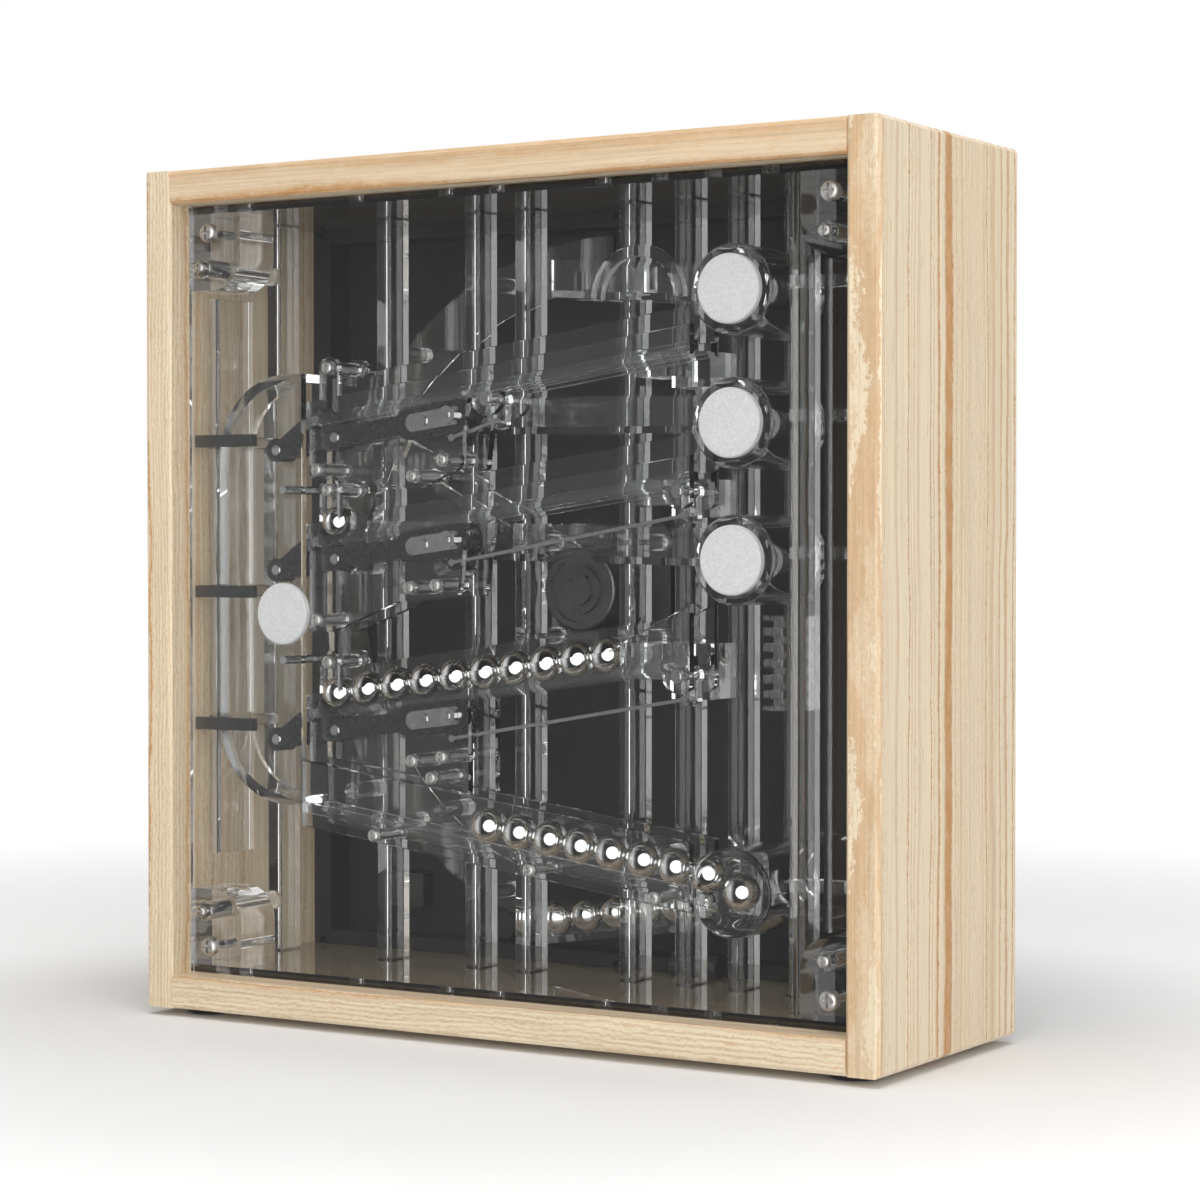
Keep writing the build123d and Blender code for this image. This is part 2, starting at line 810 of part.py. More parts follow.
# Each rail's line, trip, skirt corners and screws; corners and screws are measured from its first ball.
rails = {
    "minute": (minute_line, five_ball_trip, minute_skirt, [(-3.3, -25.1), (38.5, -27.8), (51.3, -22.3)]),
    "five_minute": (five_minute_line, twelve_ball_trip, five_minute_skirt,
                    [(-3.4, -35.4), (37.2, -23.5), (48.6, -22.5)]),
    "hour": (hour_line, twelve_ball_trip, hour_skirt, [(38.3, -22.8), (51.0, -21.0), (46.6, -28.6)]),
}


def rail_screws(name):
    """The screw places of a rail, its tab's screw first."""
    line, _, _, places = rails[name]
    return [local(line, place) for place in [tab_screw, *places]]


rise_start = rail_right - 33.6
hour_rise = outline_of((rise_start, line_at(hour_line, rise_start)),
                       (rail_right, line_at(hour_line, rail_right)),
                       (rail_right, hour_line + 33.9), (rail_right - 5.6, hour_line + 30.9),
                       (rail_right - 19.6, hour_line + 23.9))

for name, (line, trip, skirt, _) in rails.items():
    screws = rail_screws(name)
    line_below = five_minute_line if name == "minute" else None
    front = rail_wall(line, trip, skirt, rail_above, wall_front, lane_near, screws, line_below)
    rear = rail_wall(line, trip, skirt, rear_wall_above, lane_far, wall_back, screws, line_below)
    if name == "hour":
        front += plate(hour_rise, wall_front, lane_near)
        rear += plate(hour_rise, lane_far, wall_back)
    save(f"{name}_rail_walls", front, rear)
    save(f"{name}_gate_lever", gate_lever(line))
    save(f"{name}_gate_fittings", gate_bearing(line), *gate_weights(line))
    save(f"{name}_trip_crank", trip_crank(line, trip))
    save(f"{name}_trip_link", trip_link(line, trip))

save("rail_ledges", *[piece for line, _, _, _ in rails.values()
                      for piece in ledges(lambda x, line=line: line_at(line, x), skirt_left, rail_right)],
     *ledges(queue_at, queue_left, rail_right))
gate_washer = 3.2
trip_washer = 2.4
pivot_pins = [pivot_pin(pivot_of(line), gate_washer) for line, _, _, _ in rails.values()]
pivot_pins += [pivot_pin(trip_place(line, trip), trip_washer) for line, trip, _, _ in rails.values()]

# ================================================================ the queue along the bottom
queue_screw_drop = 10.7
queue_screw_places = (queue_left + 32.2, first_ball_x + 87.6, rail_right - 13.6)
queue_screws = [(x, queue_at(x) - queue_screw_drop) for x in queue_screw_places]


def queue_wall(near, far):
    """The front or rear wall of the queue's lane."""
    shape = plate(band_outline(queue_at, queue_left, rail_right, -queue_below, queue_above), near, far)
    for screw in queue_screws:
        shape -= rod(screw, near, far, small_screw_radius + screw_gap)
    return shape


queue_spacer_radius = 2.0
all_screws = [screw for name in rails for screw in rail_screws(name)]
save("queue_walls", queue_wall(wall_front, lane_near), queue_wall(lane_far, wall_back))


def nut(place):
    """A small hexagon nut behind a rail's rear wall."""
    shape = plate(Pos(*place) * RegularPolygon(nut_radius, 6), wall_back, wall_back + nut_height)
    return shape - rod(place, wall_back, wall_back + nut_height, small_screw_radius)


rail_bolts = [pan_screw(place, wall_front, wall_back + nut_height - wall_front, small_head_radius,
                        small_screw_radius) for place in all_screws + queue_screws]
rail_bolts += [nut(place) for place in all_screws + queue_screws]
spacers = [tube(place, lane_near + film, lane_far - film, spacer_radius, small_screw_radius + screw_gap)
           for place in all_screws]
spacers += [tube(place, lane_near + film, lane_far - film, queue_spacer_radius,
                 small_screw_radius + screw_gap) for place in queue_screws]

mount_places = [(post_places[1], minute_line - 12.0), (post_places[2], minute_line - 21.0),
                (post_places[1], five_minute_line - 16.0), (post_places[2], five_minute_line - 16.5),
                (post_places[1], hour_line - 8.0), (post_places[2], hour_line - 12.0)]
mount_places += [(x, queue_at(x)) for x in (post_places[1], post_places[2], post_places[5])]
spacers += [rod(place, wall_back + film, post_front - film, mount_radius) for place in mount_places]


block_overhang = 9.0


def stepped_block(low, height):
    """A clear stepped block that carries a rail's right end on two posts."""
    left, right = post_places[5] - block_overhang, post_places[6]
    step = (left + right) / 2
    outline = outline_of((left, low + height / 3), (step, low + height / 3), (step, low), (right, low),
                         (right, low + height), (left, low + height))
    return plate(outline, wall_back + film, post_front - film)


rail_blocks = [stepped_block(minute_line + 1.7, 12.0), stepped_block(five_minute_line + 1.0, 13.0),
               stepped_block(hour_line + 0.9, 19.0)]


# ================================================================ turn drums, pads and ties
bottom_drum = (bottom_drum_x, queue_at(bottom_drum_x) - bottom_drum_drop)
left_disc = (queue_left - 7.5, hour_line + 28.6)
drum_cut_depth = 3.0
drum_ease = 0.8


def drum_cut(centre, near, far, low, high):
    """An opening in the left side of a drum, between two heights from its centre."""
    x, z = centre
    return block(x - drum_outer - 1, x - drum_cut_depth, near, far, z + low, z + high)


def turn_drum(centre, far, entry, leave):
    """A clear drum in which a ball drops from one lane to another, closed in front, open where balls pass."""
    shape = rod(centre, wall_front, far, drum_outer)
    shape -= rod(centre, lane_near, far, drum_outer - drum_wall)
    shape = fillet(shape.edges().filter_by(GeomType.CIRCLE).sort_by(Axis.Y)[0], drum_ease)
    for near, end, low, high in (entry, leave):
        shape -= drum_cut(centre, near, end, low, high)
    return shape


trough_lane_near = trough_near + trough_wall
drum_inner = drum_outer - drum_wall
high_entry = (trough_lane_near - ball_gap, post_front, -1.0, drum_inner + 1.0)
low_exit = (lane_near, lane_far, -drum_inner - 0.5, 1.0)
queue_entry = (lane_near, lane_far, -9.0, drum_inner)
channel_exit = (channel_lane_near, channel_lane_far, -drum_inner - 0.5, 3.0)

high_drums = (upper_drum, middle_drum, lower_drum)


pad_ease = 0.7


def pad(centre, radius):
    """A white felt disc bonded to the front, with a soft edge."""
    shape = rod(centre, wall_front - pad_sheet, wall_front - film, radius)
    return fillet(shape.edges().filter_by(GeomType.CIRCLE).sort_by(Axis.Y)[0], pad_ease)


save("felt_pads", pad(upper_drum, pad_radius), pad(middle_drum, pad_radius), pad(lower_drum, pad_radius),
     pad(left_disc, left_pad_radius))

turn_ball_z = bottom_drum[1] - 0.3
ramp_half_width = 8.0


def drum_ramp():
    """The sloping floor inside the bottom drum, from the queue back to the lower channel."""
    start = turn_ball_z - ball_radius - ball_gap
    end = channel_at(bottom_drum[0]) - ball_radius - ball_gap
    low = bottom_drum[1] - drum_outer
    corners = [(lane_near, start), (channel_lane_near, end), (channel_lane_near, low), (lane_near, low)]
    side = Polygon(*[(at_depth(depth), z) for depth, z in corners], align=None)
    shape = Pos(bottom_drum[0], 0, 0) * extrude(Plane.YZ * side, ramp_half_width, both=True)
    return shape & rod(bottom_drum, lane_near + film, channel_lane_near, drum_inner - film)


def channel_at(x):
    """The height of the balls' centres in the lower channel."""
    return channel_first[1] + (x - channel_first[0]) * rail_climb


save("turn_drums", *[turn_drum(drum, post_front - film, high_entry, low_exit) for drum in high_drums],
     turn_drum(bottom_drum, channel_far, queue_entry, channel_exit), drum_ramp())

upright_left = inner_half - 30.5
upright_width = 6.0
upright_depth = 11.0
upright_near = lane_near
upright_far = upright_near + upright_depth
side_plate_left = inner_half - 17.5
strap_height = 4.0
strap_rise = 2.5
strap_depth = 5.0
strap_far = upright_far + strap_depth
ladder_width = 9.5
ladder_low = hour_line - 1.1
rung_count = 6
ladder_pitch = 5.2
ladder_bar = 3.0
ladder_notch_depth = 7.0
ladder_notch_half = 1.2

side_low = floor_top + corner_block_height + 2 * film
side_high = ceiling - corner_block_height - 2 * film


def turn_strap(drum):
    """The clear tie from a drum to the plate beside the right wall."""
    middle = drum[1] + strap_rise
    shape = block(drum[0], side_plate_left - film, upright_far + film, strap_far, middle - strap_height / 2,
                  middle + strap_height / 2)
    return shape - rod(drum, upright_far, strap_far, drum_outer + film)


def right_upright():
    """The tall clear bar in front of the drums' ties."""
    shape = block(upright_left, upright_left + upright_width, upright_near, upright_far, floor_top + film,
                  ceiling - film)
    return chamfer(shape.edges().filter_by(Axis.Z), ease)


def side_plate():
    """The clear plate beside the right wall, between the corner blocks."""
    return block(side_plate_left, side_plate_left + sheet, upright_near, post_front - film,
                 side_low, side_high)


save("turn_straps", *[turn_strap(drum) for drum in (*high_drums, bottom_drum)])


def ladder_block():
    """The clear block beside the right upright, notched like a ladder."""
    high = ladder_low + rung_count * ladder_pitch
    shape = block(upright_left - ladder_width, upright_left - film, upright_near, upright_far,
                  ladder_low, high)
    for rung in range(rung_count):
        z = ladder_low + (rung + 0.5) * ladder_pitch
        shape -= block(upright_left - ladder_width, upright_left - ladder_bar, upright_near,
                       upright_near + ladder_notch_depth, z - ladder_notch_half, z + ladder_notch_half)
    return shape


save("rail_blocks", *rail_blocks, ladder_block())

# ================================================================ the return chute on the left
chute_left = -inner_half + 10.5
chute_right = queue_left - rail_gap
chute_low = queue_first[1] + 4.4
chute_high = minute_line + 9.7
chute_round = 30.0
strap_heights = (minute_line - 14.0, hour_line + 36.5, hour_line - 12.1)
strap_right = chute_left + 17.0
strap_left = -inner_half + 1.2
strap_sheet = 3.0
strap_half_height = 2.2
side_bar_width = 5.5
side_bar_low = chute_low - 19.5
side_bar_high = chute_high + 28.5
tie_places = ((chute_right - 8.0, five_minute_line + 11.6), (chute_right - 8.1, hour_line + 11.8))


def chute_outline(inset):
    """The chute's D outline, drawn in by an inset."""
    width = 2 * (chute_right - chute_left)
    height = chute_high - chute_low - 2 * inset
    middle = (chute_left + inset + width / 2, (chute_low + chute_high) / 2)
    round_box = Pos(*middle) * RectangleRounded(width, height, chute_round - inset)
    keep = outline_of((chute_left, chute_low), (chute_right, chute_low), (chute_right, chute_high),
                      (chute_left, chute_high))
    return round_box & keep


def chute_plate(near, far):
    """The D-shaped front or rear plate of the chute."""
    shape = plate(chute_outline(0), near, far)
    for place in tie_places:
        shape -= rod(place, near, far, pin_radius)
    return shape


save("return_chute", chute_plate(wall_front, lane_near), chute_plate(lane_far, wall_back),
     plate(chute_outline(0) - chute_outline(sheet), lane_near + film, lane_far - film))
tie_pins = [rod(place, wall_front - pin_proud, wall_back, pin_radius) for place in tie_places]
save("lane_pins", *pivot_pins, *tie_pins)


def side_bar():
    """The tall clear bar beside the left wall, bonded to the chute."""
    shape = block(chute_left - side_bar_width, chute_left - film, wall_front, wall_back, side_bar_low,
                  side_bar_high)
    return chamfer(shape.edges().filter_by(Axis.Z), ease)


save("uprights", *[post(x) for x in post_places], right_upright(), side_plate(), side_bar())
save("chute_straps", *[block(strap_left, strap_right, wall_front - strap_sheet, wall_front - film,
                             z - strap_half_height, z + strap_half_height) for z in strap_heights])
side_bar_x = chute_left - side_bar_width / 2
spacers += [rod((side_bar_x, z), wall_back + film, post_front - film, strap_half_height)
            for z in strap_heights]


# ================================================================ lanes behind the rails
def trough(height_at, left, right, near, far, wall, floor, above, rear_gap=None):
    """A clear channel: two walls and a floor, its rear wall open over a gap where one is given."""
    low = -ball_radius - ball_gap - floor
    floor_outline = band_outline(height_at, left, right, low, low + floor)
    wall_outline = band_outline(height_at, left, right, low, above)
    shape = plate(floor_outline, near, far) + plate(wall_outline, near, near + wall)
    shape += plate(wall_outline, far - wall, far)
    if rear_gap:
        clear_low = low + floor
        gap_outline = band_outline(height_at, rear_gap[0], rear_gap[1], clear_low, above + 1)
        shape -= plate(gap_outline, far - wall, far)
    return shape


def slope(start, end):
    """The height along a straight lane from one place to another."""
    fall = (end[1] - start[1]) / (end[0] - start[0])
    return lambda x: start[1] + (x - start[0]) * fall


entry_rise = drum_inner - ball_radius + 0.8
minute_lane = slope((trough_left, minute_line - 3.2), (rail_right, middle_drum[1] + entry_rise))
five_minute_lane = slope((trough_left, five_minute_line - 3.4), (rail_right, lower_drum[1] + entry_rise))
feed_left = 4.0
feed_right = 18.0
feed_lane = slope((feed_left, feed_start_z), (rail_right, upper_drum[1] + entry_rise))
transfer_lanes = [trough(height_at, trough_left, rail_right, trough_near, trough_far, trough_wall,
                         trough_floor, trough_above) for height_at in (minute_lane, five_minute_lane)]

feed_chute_far = lift_near - 0.8
feed_chute_rise = 2.8
feed_chute_wall = 2.0
feed_chute_side = 8.0


def side_cut(corners, left, right):
    """A piece cut to an outline of depths and heights, seen from the right, between two sides."""
    outline = Polygon(*[(at_depth(depth), z) for depth, z in corners], align=None)
    return Pos(left, 0, 0) * extrude(Plane.YZ * outline, right - left)


def feed_chute():
    """The short chute that brings a ball forward from the lift to the feed lane."""
    start = feed_lane(feed_left) - ball_radius - ball_gap
    low, high = start - trough_floor, start + feed_chute_side
    floor = side_cut([(post_front, low), (feed_chute_far, low + feed_chute_rise),
                      (feed_chute_far, start + feed_chute_rise), (post_front, start)],
                     feed_left - feed_chute_wall, feed_right + feed_chute_wall)
    side = [(post_front, low), (feed_chute_far, low + feed_chute_rise),
            (feed_chute_far, high + feed_chute_rise), (post_front, high)]
    shape = floor + side_cut(side, feed_left - feed_chute_wall, feed_left)
    return shape + side_cut(side, feed_right, feed_right + feed_chute_wall)


arch_centre = (40.5, feed_start_z - 11.0)
arch_outer = 18.5
arch_inner = 14.5


def feed_arch():
    """The clear arch in front of the feed lane."""
    ring = Pos(*arch_centre) * (Circle(arch_outer) - Circle(arch_inner))
    upper = Pos(arch_centre[0], arch_centre[1] + arch_outer / 2) * Rectangle(2 * arch_outer, arch_outer)
    return plate(ring & upper, trough_near - sheet, trough_near - film)


feed_trough = trough(feed_lane, feed_left, rail_right, trough_near, trough_far, trough_wall, trough_floor,
                     trough_above, (feed_left, feed_right))
save("upper_lanes", *transfer_lanes, feed_trough, feed_chute(), feed_arch())

channel_left = channel_first[0] - ball_radius - ball_gap - channel_wall
channel_open = channel_first[0] + 7.6
channel_bar_drop = 2.0
channel_bar_radius = 2.6


def lower_channel():
    """The channel that leads balls down to the lift, open at the back where the scoop takes them."""
    shape = trough(channel_at, channel_left, rail_right, channel_front, channel_far, channel_wall, trough_floor,
                   trough_above, (channel_left, channel_open))
    end = band_outline(channel_at, channel_left, channel_left + channel_wall, -ball_radius, trough_above)
    return shape + plate(end, channel_front, channel_lane_far)


save("lower_channel", lower_channel())
spacers += [rod((x, channel_at(x) - channel_bar_drop), post_far + film, channel_front - film,
                channel_bar_radius) for x in post_places[4:7]]

# ================================================================ the lift and its motor
lift_centre = (0.0, lift_centre_z)
ear_screws = [(0.0, lift_centre_z + rise) for rise in mirrored([motor_ear_rise])]
motor_bush = 5.0
plate_corner = 5.0
ear_sheet = 1.2
ear_width = 7.0
can_ease = 1.2
can_groove_outer = 12.0
can_groove_inner = 8.5
can_groove_depth = 1.2
can_boss_radius = 5.5
can_boss_proud = 1.5
terminal_half = 6.0
terminal_near = motor_near + 5.0
terminal_far = motor_near + 11.0
terminal_drop = 3.0
shaft_inset = 4.0


def motor_plate():
    """The clear plate between two posts that carries the motor."""
    left = post_places[3] - post_width / 2
    right = post_places[4] + post_width / 2
    sheet_outline = RectangleRounded(right - left, 2 * motor_plate_half, plate_corner)
    outline = Pos((left + right) / 2, lift_centre_z) * sheet_outline
    shape = plate(outline, motor_plate_near, motor_plate_far)
    shape -= rod(lift_centre, motor_plate_near, motor_plate_far, motor_bush + screw_gap)
    for place in motor_mounts + ear_screws:
        shape -= rod(place, motor_plate_near, motor_plate_far, small_screw_radius + screw_gap)
    return shape


def gearmotor():
    """The slow gearmotor: a round can with a rear bush, two ears and a terminal block."""
    shape = rod(lift_centre, motor_near, motor_plate_near, motor_radius)
    shape = fillet(shape.edges().filter_by(GeomType.CIRCLE).sort_by(Axis.Y)[0], can_ease)
    shape -= tube(lift_centre, motor_near, motor_near + can_groove_depth, can_groove_outer, can_groove_inner)
    shape += rod(lift_centre, motor_near - can_boss_proud, motor_near, can_boss_radius)
    low, high = ear_screws
    shape += plate(capsule(low, high, ear_width), motor_plate_near - ear_sheet, motor_plate_near)
    shape += rod(lift_centre, motor_plate_near, motor_plate_far + bush_proud, motor_bush)
    can_low = lift_centre_z - motor_radius
    shape += block(-terminal_half, terminal_half, terminal_near, terminal_far, can_low - terminal_drop,
                   lift_centre_z)
    shape -= rod(lift_centre, motor_near + shaft_inset, motor_plate_far + bush_proud, shaft_radius + pivot_gap)
    for place in ear_screws:
        shape -= rod(place, motor_plate_near - ear_sheet, motor_plate_near, small_screw_radius)
    return shape


save("motor_plate", motor_plate())
save("gearmotor", gearmotor())
motor_screw_bite = 5.0
spacers += [tube(place, post_far + film, motor_plate_near - film, mount_radius,
                 small_screw_radius + screw_gap) for place in motor_mounts]
motor_screws = [rear_screw(place, motor_plate_far, motor_plate_far - post_far + motor_screw_bite,
                           small_head_radius, small_screw_radius) for place in motor_mounts]
motor_screws += [rear_screw(place, motor_plate_far, motor_plate_sheet + ear_sheet, small_head_radius,
                            small_screw_radius) for place in ear_screws]
save("rail_screws", *rail_bolts, *motor_screws)

guide_inner = lift_radius - 10.0
guide_outer = lift_radius + 8.5
guide_end_room = 0.5
guide_foot_room = 2.0
guide_bar_radius = 2.8


def lift_guide():
    """The clear curved guide in front of the scoop's way up on the left."""
    ring = Pos(*lift_centre) * (Circle(guide_outer) - Circle(guide_inner))
    size = 2 * guide_outer
    upper_end = feed_left - feed_chute_wall - guide_end_room
    upper = Pos(upper_end - size / 2, lift_centre_z + size / 4) * Rectangle(size, size / 2)
    lower_end = channel_left - guide_foot_room
    lower = Pos(lower_end - size / 2, lift_centre_z - size / 4) * Rectangle(size, size / 2)
    return plate(ring & (upper + lower), guide_near, guide_near + guide_sheet)


def guide_mounts():
    """The short bars that carry the guide on the left posts."""
    reach = (guide_inner + guide_outer) / 2
    places = [(x, lift_centre_z + side * math.sqrt(reach**2 - x**2)) for x in post_places[1:3]
              for side in (-1, 1)]
    return [rod(place, post_far + film, guide_near - film, guide_bar_radius) for place in places]


save("lift_guide", lift_guide())
save("clear_spacers", *spacers, *guide_mounts())

hub_far = arm_near + arm_sheet
scoop_open = 3.0
arm_eye_rim = 2.0
arm_foot = 5.0
arm_foot_inset = 1.0
window_start = 22.0
window_end = 20.0


def lift_outline(outline):
    """An outline drawn with the arm straight up, turned to the arm's place at rest."""
    return Pos(*lift_centre) * Rot(0, 0, -lift_angle) * outline


def rectangle(left, right, low, high):
    """A rectangle between two places in each direction."""
    return Pos((left + right) / 2, (low + high) / 2) * Rectangle(right - left, high - low)


scoop_low = lift_radius - scoop_room / 2 - scoop_wall
scoop_high = lift_radius + scoop_room / 2 + scoop_wall
scoop_back = -scoop_room / 2 - scoop_wall
scoop_lip = scoop_room / 2


def lift_arm():
    """The clear arm from the hub to the scoop, with one long window to lighten it."""
    outline = capsule((0, 0), (0, scoop_low - arm_width / 2 - film), arm_width)
    outline += Circle(hub_radius + arm_eye_rim)
    outline += rectangle(scoop_back + arm_foot_inset, scoop_lip - arm_foot_inset, scoop_low - arm_foot,
                         scoop_low - film)
    outline -= capsule((0, window_start), (0, scoop_low - window_end), arm_window)
    outline -= Circle(hub_neck_radius + pivot_gap)
    return plate(lift_outline(outline), arm_near + film, hub_far)


def lift_scoop():
    """The clear scoop: three walls round a ball and a cheek behind it, open in front and ahead."""
    walls = rectangle(scoop_back, scoop_lip, scoop_low, scoop_low + scoop_wall)
    walls += rectangle(scoop_back, scoop_back + scoop_wall, scoop_low, scoop_high)
    walls += rectangle(scoop_back, scoop_lip - scoop_open, scoop_high - scoop_wall, scoop_high)
    shape = plate(lift_outline(walls), lift_near, scoop_far)
    cheek = lift_outline(rectangle(scoop_back, scoop_lip - scoop_open, scoop_low, scoop_high))
    return shape + plate(cheek, scoop_far - scoop_cheek, scoop_far)


hub_ease = 0.5
hub_nut_radius = 5.5
hub_nut_height = 3.2
shaft_proud = 4.0


def lift_hub():
    """The brass hub: a flange in front of the arm and a neck through it."""
    shape = rod(lift_centre, hub_near, arm_near, hub_radius)
    shape += rod(lift_centre, arm_near, hub_far, hub_neck_radius)
    shape = fillet(shape.edges().filter_by(GeomType.CIRCLE).sort_by(Axis.Y)[0], hub_ease)
    return shape - rod(lift_centre, hub_near, hub_far, shaft_radius)


def lift_nut():
    """The brass nut that holds the arm on its hub."""
    shape = plate(Pos(*lift_centre) * RegularPolygon(hub_nut_radius, 6), hub_far, hub_far + hub_nut_height)
    return shape - rod(lift_centre, hub_far, hub_far + hub_nut_height, shaft_radius)


save("lift_arm", lift_arm())
save("lift_scoop", lift_scoop())
save("lift_hub", lift_hub(), lift_nut())
save("lift_shaft", rod(lift_centre, motor_near + shaft_inset + 1.0, hub_far + shaft_proud, shaft_radius))

capacitor_radius = 4.3
capacitor_length = 19.0
capacitor_place = (40.0, post_far + 10.0)
capacitor_ease = 0.8


def run_capacitor():
    """The motor's sleeved capacitor, lying on the bottom lining."""
    x, depth = capacitor_place
    z = floor_top + capacitor_radius
    shape = Pos(x, at_depth(depth), z) * Rot(0, 90, 0) * Cylinder(capacitor_radius, capacitor_length)
    return fillet(shape.edges().filter_by(GeomType.CIRCLE), capacitor_ease)


save("run_capacitor", run_capacitor())


# ================================================================ the steel balls
def ball(x, depth, z):
    """One polished steel ball."""
    return Pos(x, at_depth(depth), z) * Sphere(ball_radius)


def row(height_at, start, count, step_x, depth):
    """A row of balls along a lane."""
    return [ball(start + n * step_x, depth, height_at(start + n * step_x)) for n in range(count)]


queue_end = bottom_drum[0] - drum_outer + 2.0
turning_ball_x = bottom_drum[0] - 0.5
channel_middle = (channel_lane_near + channel_lane_far) / 2
save("five_minute_ball", ball(first_ball_x, lane_middle, five_minute_line))
save("hour_balls", *row(lambda x: line_at(hour_line, x), first_ball_x, hour_ball_count, rail_step,
                        lane_middle))
save("queue_balls", *row(queue_at, queue_end, queue_ball_count, -queue_step, lane_middle))
save("turning_ball", ball(turning_ball_x, lane_middle, turn_ball_z))
save("channel_balls", *row(channel_at, channel_first[0], channel_ball_count, rail_step,
                           channel_middle))
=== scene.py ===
"""Looks of the rolling ball clock: pine case, clear acrylic works, polished balls, black levers, felt pads.
Lengths are metres in the frame's own axes: X right, Y from the front to the back, Z up."""
import math

import bpy
from mathutils import Euler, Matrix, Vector

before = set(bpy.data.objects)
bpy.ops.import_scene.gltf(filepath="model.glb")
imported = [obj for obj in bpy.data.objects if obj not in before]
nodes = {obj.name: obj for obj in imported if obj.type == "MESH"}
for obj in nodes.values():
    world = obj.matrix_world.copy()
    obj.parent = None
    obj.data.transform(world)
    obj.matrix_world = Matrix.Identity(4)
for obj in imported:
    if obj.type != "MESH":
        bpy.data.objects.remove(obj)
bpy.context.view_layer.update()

# ---------------------------------------------------------------- camera
CAMERA_PLACE = Vector((0.5813, -0.9222, 0.1730))
CAMERA_TURN = math.radians(31.63)
CAMERA_DIP = math.radians(1.049)
CAMERA_LENS = 91.71
SENSOR = 36.0


def make_camera():
    """The camera at the photograph's angle."""
    data = bpy.data.cameras.new("camera")
    data.lens = CAMERA_LENS
    data.sensor_width = SENSOR
    camera = bpy.data.objects.new("camera", data)
    camera.location = CAMERA_PLACE
    camera.rotation_euler = Euler((math.pi / 2 - CAMERA_DIP, 0, CAMERA_TURN))
    bpy.context.scene.collection.objects.link(camera)
    bpy.context.scene.camera = camera


# ---------------------------------------------------------------- node helpers
class Graph:
    """A short way to write a material's node tree."""

    def __init__(self, name):
        self.material = bpy.data.materials.new(name)
        self.material.use_nodes = True
        self.tree = self.material.node_tree
        self.shader = self.tree.nodes["Principled BSDF"]

    def add(self, kind, **settings):
        """A node with its properties and its unlinked input values set."""
        node = self.tree.nodes.new(kind)
        inputs = settings.pop("inputs", {})
        for key, value in settings.items():
            setattr(node, key, value)
        for key, value in inputs.items():
            node.inputs[key].default_value = value
        return node

    def link(self, source, target):
        """A link from an output socket to an input socket."""
        self.tree.links.new(source, target)

    def math(self, operation, first, second=None):
        """A math node fed by sockets or numbers."""
        node = self.add("ShaderNodeMath", operation=operation)
        for index, value in enumerate((first, second)):
            if value is None:
                continue
            if isinstance(value, (int, float)):
                node.inputs[index].default_value = value
            else:
                self.link(value, node.inputs[index])
        return node.outputs[0]

    def vector(self, source, scale):
        """Coordinates stretched by a scale."""
        node = self.add("ShaderNodeVectorMath", operation="MULTIPLY")
        self.link(source, node.inputs[0])
        node.inputs[1].default_value = scale
        return node.outputs[0]

    def noise(self, source, scale, detail=2.0, roughness=0.5):
        """A noise value over coordinates stretched by a scale."""
        node = self.add("ShaderNodeTexNoise", inputs={"Scale": 1.0, "Detail": detail, "Roughness": roughness})
        self.link(self.vector(source, scale), node.inputs["Vector"])
        return node.outputs["Fac"]

    def noise_along(self, value, detail=2.0):
        """A noise value along one number."""
        node = self.add("ShaderNodeTexNoise", noise_dimensions="1D", inputs={"Scale": 1.0, "Detail": detail})
        self.link(value, node.inputs["W"])
        return node.outputs["Fac"]

    def ramp(self, value, *stops, smooth=True):
        """A ramp of grey or colour stops, each a place and a value."""
        node = self.add("ShaderNodeValToRGB")
        node.color_ramp.interpolation = "EASE" if smooth else "LINEAR"
        elements = node.color_ramp.elements
        while len(elements) < len(stops):
            elements.new(0.5)
        for element, (place, colour) in zip(elements, stops):
            element.position = place
            element.color = (*colour, 1) if isinstance(colour, tuple) else (colour, colour, colour, 1)
        self.link(value, node.inputs[0])
        return node.outputs[0]

    def mix(self, factor, first, second, blend="MIX"):
        """Two colours mixed by a factor."""
        node = self.add("ShaderNodeMix", data_type="RGBA", blend_type=blend)
        for socket, value in zip((node.inputs[0], node.inputs[6], node.inputs[7]), (factor, first, second)):
            if isinstance(value, (int, float)):
                socket.default_value = value
            elif isinstance(value, tuple):
                socket.default_value = (*value, 1)
            else:
                self.link(value, socket)
        return node.outputs[2]

    def bump(self, height, distance, strength):
        """A bump from a height, whose size is in metres."""
        node = self.add("ShaderNodeBump", inputs={"Strength": strength, "Distance": distance})
        self.link(height, node.inputs["Height"])
        return node.outputs[0]

    def place(self):
        """The coordinates of a point in the frame."""
        return self.add("ShaderNodeTexCoord").outputs["Object"]


# ---------------------------------------------------------------- materials
PINE_PALE = (0.80, 0.69, 0.51)
PINE_WARM = (0.76, 0.60, 0.39)
PINE_LATE = (0.50, 0.235, 0.062)
PINE_GREY = (0.42, 0.33, 0.23)
RINGS_PER_METRE = 170.0
FINE_RINGS_PER_METRE = 760.0
SWAY_DEPTH = 0.007
WAVE_DEPTH = 0.0014
JAG_DEPTH = 0.0019
ACRYLIC_IOR = 1.49


